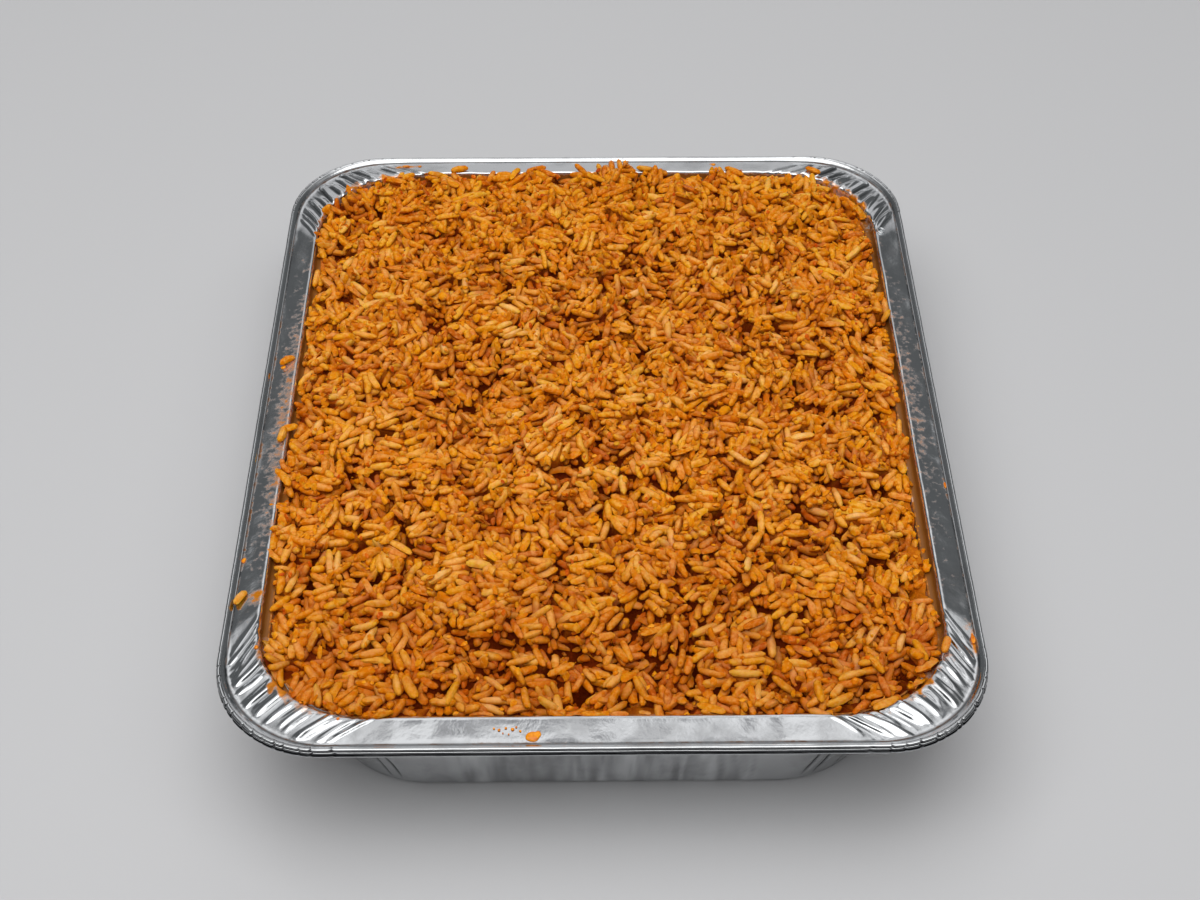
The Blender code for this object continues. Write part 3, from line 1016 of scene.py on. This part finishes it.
def blurred(grid, times):
    for _ in range(times):
        grid = 0.5 * grid + 0.125 * sum(np.roll(grid, step, axis) for step in (-1, 1) for axis in (0, 1))
    return grid


def pasteSkin(bed):
    # height of the paste: down among the grains, and in mushy patches nearly up to their tops
    mushy = 0.05 + bed.noise(8, 61) + 0.7 * bed.noise(3.5, 64)
    relief = bed.noise(2.1, 62) + 0.6 * bed.noise(1.1, 63)
    mushy += paste["backShift"] * smoothStep(20 * mm, 120 * mm, bed.y) - paste["frontShift"] * bed.front
    low = spread(blurred(bed.top, 7), paste["under"], np.minimum)
    skin = blurred(low, 2) - paste["depth"] + paste["mushy"] * np.clip(mushy, 0, 1)
    return skin + paste["relief"] * relief


def makeCore(bed, skin):
    # the body of the heap under the grains, closed down to the base
    reachX, reachY = halfWidth - foil["crestInset"], halfLength - foil["crestInset"]
    spacing = paste["spacing"]
    core = newPiece("riceCore", bpy.ops.mesh.primitive_grid_add, x_subdivisions=round(2 * reachX / spacing),
                    y_subdivisions=round(2 * reachY / spacing), size=1)
    points = readPoints(core.data) * (2 * reachX, 2 * reachY, 1)
    beyond = fromCrest(points[:, 0], points[:, 1]) + heap["edge"]
    kept = beyond < 0.62 * spacing
    near = kept & (beyond > -0.45 * spacing)
    drawIn(points, np.where(near, beyond, 0))
    points[:, 2] = skin[bed.cells(points[:, 0], points[:, 1])]
    points = keepInPan(points)
    writePoints(core.data, points)
    # painted shade, darker the deeper the paste lies
    addAttribute(core.data, "paintedShade", paintedShadeAt(bed, points))
    selectPoints(core, ~kept)
    bpy.ops.mesh.delete(type="VERT")
    bpy.ops.mesh.select_all(action="SELECT")
    bpy.ops.mesh.region_to_loop()
    # down inside the ledge, then along the leaning wall to the base
    inset = foil["crestInset"] + heap["edge"]
    for z, nextInset in paste["sides"]:
        bpy.ops.mesh.extrude_edges_move()
        wider = (halfWidth - nextInset) / (halfWidth - inset)
        longer = (halfLength - nextInset) / (halfLength - inset)
        bpy.ops.transform.resize(value=(wider, longer, 0), center_override=(0, 0, z))
        inset = nextInset
    bpy.ops.mesh.edge_face_add()
    endEdit()
    bpy.ops.object.shade_smooth_by_angle(angle=math.radians(60))
    core.data.materials.append(pasteMaterial())
    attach(core, "root")
    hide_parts("jollof_rice")
    report(f"core has {len(core.data.polygons)} faces")


def pasteMaterial():
    material, nodes, shader = newMaterial("thickSauce")
    where = nodes.coordinates()
    # painted shade darkens the paste and dulls its shine deeper down
    paintedShade = nodes.attribute("paintedShade")
    colour = nodes.mix(nodes.scaled(nodes.noise(where, 300, 4), 0.35, 0.65), *paste["tones"])
    nodes.plug(shader, {
        "Base Color": nodes.mix(paintedShade, colour, paste["shadeTone"]),
        "Roughness": 0.4,
        "Specular IOR Level": nodes.scaled(paintedShade, 0, 1, 0.25, 0.04),
        "Normal": nodes.bump(nodes.noise(where, 700, 4, 0.65), 0.9 * mm, 0.9),
    })
    return material


def grainAxes(laid):
    heading, tilt = laid[:, 4], laid[:, 5]
    along = np.stack((np.cos(heading) * np.cos(tilt), np.sin(heading) * np.cos(tilt), np.sin(tilt)), 1)
    level = np.stack((-np.sin(heading), np.cos(heading), np.zeros(len(laid))), 1)
    return along, level, np.cross(along, level)


def shownGrains(bed, skin, laid):
    # keeps the grains that show above the paste, from above or from any side
    along, level, up = grainAxes(laid)
    samples = []
    for share in (-0.44, -0.22, 0.0, 0.22, 0.44):
        for side, rise in ((-0.46, 0.10), (-0.3, 0.34), (0.0, 0.46), (0.3, 0.34), (0.46, 0.10)):
            aside = (level * side + up * rise) * laid[:, 7:8]
            samples.append(laid[:, 1:4] + along * (share * laid[:, 6:7]) + aside)
    samples = np.stack(samples, 1)
    clear = samples[..., 2] > skin[bed.cells(samples[..., 0], samples[..., 1])] - 0.15 * mm
    seen = np.zeros(clear.shape, bool)
    for azimuth, elevation in [(0, 90)] + [(az, el) for el in (62, 38) for az in range(0, 360, 60)]:
        a, e = math.radians(azimuth), math.radians(elevation)
        towards = np.array((math.sin(a) * math.cos(e), -math.cos(a) * math.cos(e), math.sin(e)))
        free = clear.copy()
        for step in (0.6, 1.2, 2.0, 3.0, 4.5, 6.5, 9.0):
            ahead = samples + towards * step * mm
            free &= bed.top[bed.cells(ahead[..., 0], ahead[..., 1])] < ahead[..., 2] + 0.35 * mm
        seen |= free
    shown = laid[seen.sum(1) > 1]
    report(f"{len(shown)} of {len(laid)} grains show")
    return shown


def modelGrain():
    # one grain, along X and one unit long and wide: a ring at the blunt end, drawn out ring by ring
    grain = newPiece("grainPattern", bpy.ops.mesh.primitive_circle_add, vertices=grainSides,
                     radius=0.5 * grainOutline[0][1], fill_type="NGON", location=(-0.5, 0, 0),
                     rotation=(0, math.pi / 2, 0))
    bpy.ops.object.transform_apply(location=True, rotation=True, scale=True)
    startEdit(grain)
    bpy.ops.mesh.select_mode(type="FACE")
    bpy.ops.mesh.select_all(action="SELECT")
    for (before, wide), (after, narrow) in zip(grainOutline, grainOutline[1:]):
        bpy.ops.mesh.extrude_region_move(TRANSFORM_OT_translate={"value": (after - before, 0, 0)})
        share = narrow / wide
        bpy.ops.transform.resize(value=(1, share, share), center_override=(after - 0.5, 0, 0))
    bpy.ops.mesh.select_all(action="SELECT")
    bpy.ops.mesh.quads_convert_to_tris()
    endEdit()
    return grain


def joinCopies(name, shape, faces, points, attributes, material):
    # one mesh from many copies of a pattern, each with its own points
    count = len(points)
    order = faces[None] + (np.arange(count) * len(shape))[:, None, None]
    mesh = bpy.data.meshes.new(name)
    mesh.from_pydata(points.reshape(-1, 3), [], order.reshape(-1, 3))
    mesh.shade_smooth()
    mesh.set_sharp_from_angle(angle=math.radians(52))
    for key, values in attributes.items():
        addAttribute(mesh, key, np.broadcast_to(values, points.shape[:2]))
    piece = bpy.data.objects.new(name, mesh)
    bpy.context.scene.collection.objects.link(piece)
    piece.data.materials.append(material)
    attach(piece, "root")
    report(f"{name}: {count} of {len(faces)} triangles, {count * len(faces)} in all")


def takePattern(pattern):
    shape = readPoints(pattern.data)
    faces = np.array([p.vertices[:] for p in pattern.data.polygons])
    bpy.data.objects.remove(pattern, do_unlink=True)
    return shape, faces


def paintedShadeAt(bed, points):
    # painted shade by how deep points lie between their neighbours: 0 on top, 1 far down
    # the front, which is sunk deeper, gets more painted shade
    i, j = bed.cells(points[..., 0], points[..., 1])
    depth = bed.crest[i, j] - points[..., 2]
    return np.clip(smoothStep(1.8 * mm, 6.4 * mm, depth) + 0.36 * bed.front[i, j], 0, 1)


def makeGrains(bed, laid):
    shape, faces = takePattern(modelGrain())
    turns = np.arctan2(shape[:, 2], shape[:, 1]) / (2 * math.pi / grainSides)
    side = np.rint(turns).astype(int) % grainSides
    rng = np.random.default_rng(heap["seed"] + 1)
    for index, (name, kind) in enumerate(grainKinds.items()):
        *_, bent, flat, lumpy, highlightShare, tones = kind
        chosen = laid[laid[:, 0] == index]
        along, level, up = (axis[:, None] for axis in grainAxes(chosen))
        count = len(chosen)
        length, width = chosen[:, 6:7], chosen[:, 7:8]
        flip = rng.choice((-1, 1), (count, 1))
        px = np.repeat(shape[None, :, 0], count, 0)
        bow = (1 - 4 * px**2) - 0.5
        bend = bent * rng.normal(0, 1, (count, 2)) * mm
        roll = rng.uniform(0, 2 * math.pi, (count, 1))
        py = shape[None, :, 1] * np.cos(roll) - shape[None, :, 2] * np.sin(roll)
        pz = shape[None, :, 1] * np.sin(roll) + shape[None, :, 2] * np.cos(roll)
        ridge = rng.normal(0, 0.035 + 0.4 * lumpy, (count, grainSides))[:, side]
        lump = np.clip(1 + ridge + rng.normal(0, lumpy, py.shape), 0.5, 1.5)
        fat = rng.uniform(0.92, 1.08, (count, 1))
        # half the grains point the other way, turned about their own up axis so none is inside out
        lx = px * length * flip
        ly = (py * flip * width * lump * fat) + bend[:, :1] * bow
        lz = pz * width * lump * flat / fat + 0.5 * bend[:, 1:] * bow
        points = chosen[:, None, 1:4] + lx[..., None] * along + ly[..., None] * level + lz[..., None] * up
        points = keepInPan(points)
        # a painted highlight along the top of each grain, weaker towards the back
        crown = np.clip(2.1 * pz, 0, 1) ** 1.5 * (1 - (2 * np.abs(px)) ** 3)
        pale = 1 - 0.6 * smoothStep(60 * mm, 150 * mm, chosen[:, 2:3])
        crown = crown * highlightShare * pale * rng.uniform(0.2, 1.0, (count, 1))
        tone = rng.uniform(0, 1, (count, 1)) + rng.normal(0, 0.22, (count, grainSides))[:, side]
        # tone, painted highlight and painted shade for the material
        attributes = {"tone": tone, "crown": crown, "paintedShade": paintedShadeAt(bed, points)}
        joinCopies(name, shape, faces, points, attributes, grainMaterial(name, tones))


def grainMaterial(name, tones):
    material, nodes, shader = newMaterial(name)
    where = nodes.coordinates()
    mottle = nodes.scaled(nodes.noise(where, 650, 3), 0.3, 0.7, -0.5, 0.5)
    colour = nodes.mix(nodes.maths("ADD", nodes.attribute("tone"), mottle, True), *tones)
    sauce = nodes.scaled(nodes.noise(where, 260, 4, 0.6), 0.52, 0.66, 0, 0.55)
    colour = nodes.mix(sauce, colour, grainLook["sauce"])
    # the painted highlight along the top, broken into streaks
    streaks = nodes.scaled(mottle, -0.5, 0.5, -0.2, 0.2)
    crown = nodes.maths("ADD", nodes.attribute("crown"), streaks, True)
    colour = nodes.mix(crown, colour, grainLook["crown"])
    # painted shade deep between the grains and towards the front
    deep = nodes.scaled(nodes.attribute("paintedShade"), 0, 1, 0, grainLook["shadeShare"])
    nodes.plug(shader, {
        "Base Color": nodes.mix(deep, colour, grainLook["shadeTone"]),
        "Roughness": grainLook["roughness"],
        "Specular IOR Level": grainLook["shine"],
        "Specular Tint": grainLook["shineTint"],
        "Subsurface Weight": grainLook["glow"],
        "Subsurface Radius": (1.0, 0.42, 0.10),
        "Subsurface Scale": 1.0 * mm,
        "Normal": nodes.bump(nodes.noise(where, 900, 4), 0.35 * mm, 0.6),
    })
    return material


# grains that lie on the rim: kind, x and y, heading in degrees, length and width in millimetres
strayGrains = (
    ("orangeGrains", -123.2, 26, 35, 6.5, 3.0), ("honeyGrains", -120.5, -16, 80, 7.5, 3.0),
    ("goldenGrains", -118.5, -12, 20, 7.0, 3.1), ("goldenGrains", -118, -52, 160, 8.5, 3.2),
    ("amberGrains", -116.5, -55, 120, 8.0, 3.0), ("orangeGrains", -115.5, -95, 165, 8.2, 3.1),
    ("paleGrains", -127, -95.5, 60, 6.5, 3.0), ("orangeGrains", -114, -101, 140, 7.5, 3.0),
    ("amberGrains", 117.5, -120, 70, 7.0, 3.0), ("goldenGrains", -60, 149, 12, 7.6, 3.0),
    ("honeyGrains", 22, 148.5, 170, 7.8, 3.1), ("orangeGrains", 96, 147.5, 150, 7.0, 3.0),
)  # fmt: skip


def strays():
    # the stray grains in the same columns as those laid in the heap
    kinds = list(grainKinds)
    rows = []
    for name, x, y, heading, length, width in strayGrains:
        x, y = x * mm, y * mm
        height = rimSurface(fromCrest(x, y)) + 0.42 * width * mm
        rows.append((kinds.index(name), x, y, height, math.radians(heading), 0.03, length * mm, width * mm))
    return np.array(rows)


# drops of sauce on the rim: x, y, reach across, reach along and height in millimetres
drops = (
    (-23.6, -155.3, 2.5, 1.9, 0.75), (-21.7, -154.4, 1.2, 1.0, 0.5), (-30.2, -152.8, 0.55, 0.5, 0.35),
    (-32.4, -152.3, 0.4, 0.4, 0.25), (-34.6, -152.9, 0.5, 0.4, 0.3), (-36.3, -152.4, 0.35, 0.3, 0.2),
    (-27.6, -153.4, 0.4, 0.35, 0.25), (-31.4, -154.4, 0.3, 0.3, 0.2), (-28.9, -151.9, 0.35, 0.3, 0.2),
    (-33.3, -154.0, 0.25, 0.25, 0.2), (52.5, 154.6, 1.0, 0.8, 0.5), (-128, -77, 0.8, 1.2, 0.4),
    (-124.5, 23.5, 1.0, 0.8, 0.4), (-84, 154.6, 1.8, 0.7, 0.35), (-78, 154.3, 0.8, 0.6, 0.3),
    (127.8, -115, 0.7, 2.2, 0.35), (128.3, -42, 0.5, 1.5, 0.3), (-88, -148.5, 0.6, 0.6, 0.3),
    (-101, -141.5, 0.7, 0.6, 0.35), (-118.5, -118, 0.8, 0.7, 0.4), (-126, -93, 1.3, 0.9, 0.4),
)  # fmt: skip


def makeDrops():
    ball = newPiece("dropPattern", bpy.ops.mesh.primitive_ico_sphere_add, subdivisions=3, radius=1)
    shape, faces = takePattern(ball)
    x, y, wide, long, high = (np.array(drops) * mm).T[:, :, None]
    wobble = 1 + 0.22 * softNoise(shape[None, :, 0] + x / mm, shape[None, :, 1] + y / mm, 0.9, 71)
    px, py = x + shape[None, :, 0] * wide * wobble, y + shape[None, :, 1] * long * wobble
    pz = rimSurface(fromCrest(px, py)) + 0.1 * mm + shape[None, :, 2] * high
    material, nodes, shader = newMaterial("glossySauce")
    patches = nodes.scaled(nodes.noise(nodes.coordinates(), 500, 2), 0.35, 0.65)
    colour = nodes.mix(patches, (0.58, 0.13, 0.001), (0.82, 0.29, 0.003))
    nodes.plug(shader, {"Base Color": colour, "Roughness": 0.14})
    joinCopies("sauceDrops", shape, faces, np.stack((px, py, pz), 2), {"tone": 0.5}, material)


# small bits on the heap: how many, sizes in millimetres, flatness and tones
bitKinds = {
    "riceCrumbs": (3000, (1.0, 3.0), 0.6, ((0.592, 0.163, 0.003), (0.748, 0.284, 0.007))),
    "pepperBits": (420, (0.9, 2.2), 0.35, ((0.479, 0.06, 0.003), (0.661, 0.138, 0.003))),
    "spiceSpecks": (240, (0.3, 0.7), 0.8, ((0.026, 0.01, 0.003), (0.139, 0.034, 0.007))),
}


def makeBits(bed):
    rng = np.random.default_rng(heap["seed"] + 2)
    for name, (wanted, sizes, flat, tones) in bitKinds.items():
        ball = newPiece("bitPattern", bpy.ops.mesh.primitive_ico_sphere_add, subdivisions=1, radius=0.5)
        shape, faces = takePattern(ball)
        spots = rng.uniform(-1, 1, (wanted * 2, 2)) * (halfWidth - 15 * mm, halfLength - 15 * mm)
        x, y = spots.T
        # fewer in the front
        kept = fromCrest(x, y) < -2.5 * mm
        kept &= rng.uniform(0, 1, len(spots)) > 0.7 * bed.front[bed.cells(x, y)]
        x, y = x[kept][:wanted], y[kept][:wanted]
        count = len(x)
        i, j = bed.cells(x, y)
        size = rng.uniform(*sizes, (count, 1)) * mm
        stretch = rng.uniform(0.7, 1.35, (count, 1, 3)) * (1, 1, flat)
        local = shape[None] * stretch * (1 + rng.normal(0, 0.16, (count, len(shape), 3))) * size[..., None]
        # leans with the surface it sits on
        slopeX = (bed.top[i + 1, j] - bed.top[i - 1, j]) / (2 * bed.cell)
        slopeY = (bed.top[i, j + 1] - bed.top[i, j - 1]) / (2 * bed.cell)
        slopeX, slopeY = np.clip(slopeX, -1.2, 1.2)[:, None], np.clip(slopeY, -1.2, 1.2)[:, None]
        turn = rng.uniform(0, 2 * math.pi, (count, 1))
        lx = local[..., 0] * np.cos(turn) - local[..., 1] * np.sin(turn)
        ly = local[..., 0] * np.sin(turn) + local[..., 1] * np.cos(turn)
        lz = local[..., 2] + lx * slopeX + ly * slopeY
        base = np.stack((x, y, bed.top[i, j] - 0.12 * size[:, 0]), 1)
        points = keepInPan(base[:, None] + np.stack((lx, ly, lz), 2))
        attributes = {"tone": rng.uniform(0, 1, (count, 1))}
        joinCopies(name, shape, faces, points, attributes, grainMaterial(name, tones))


makeCamera()
makeLight()
makeFloor()
makePan()
report("pan is made")
bed = GrainBed()
laid = layGrains(bed)
bed.crest = blurred(spread(bed.top, 3.2 * mm, np.maximum), 16)
skin = pasteSkin(bed)
makeGrains(bed, np.concatenate((shownGrains(bed, skin, laid), strays())))
makeCore(bed, skin)
makeBits(bed)
makeDrops()
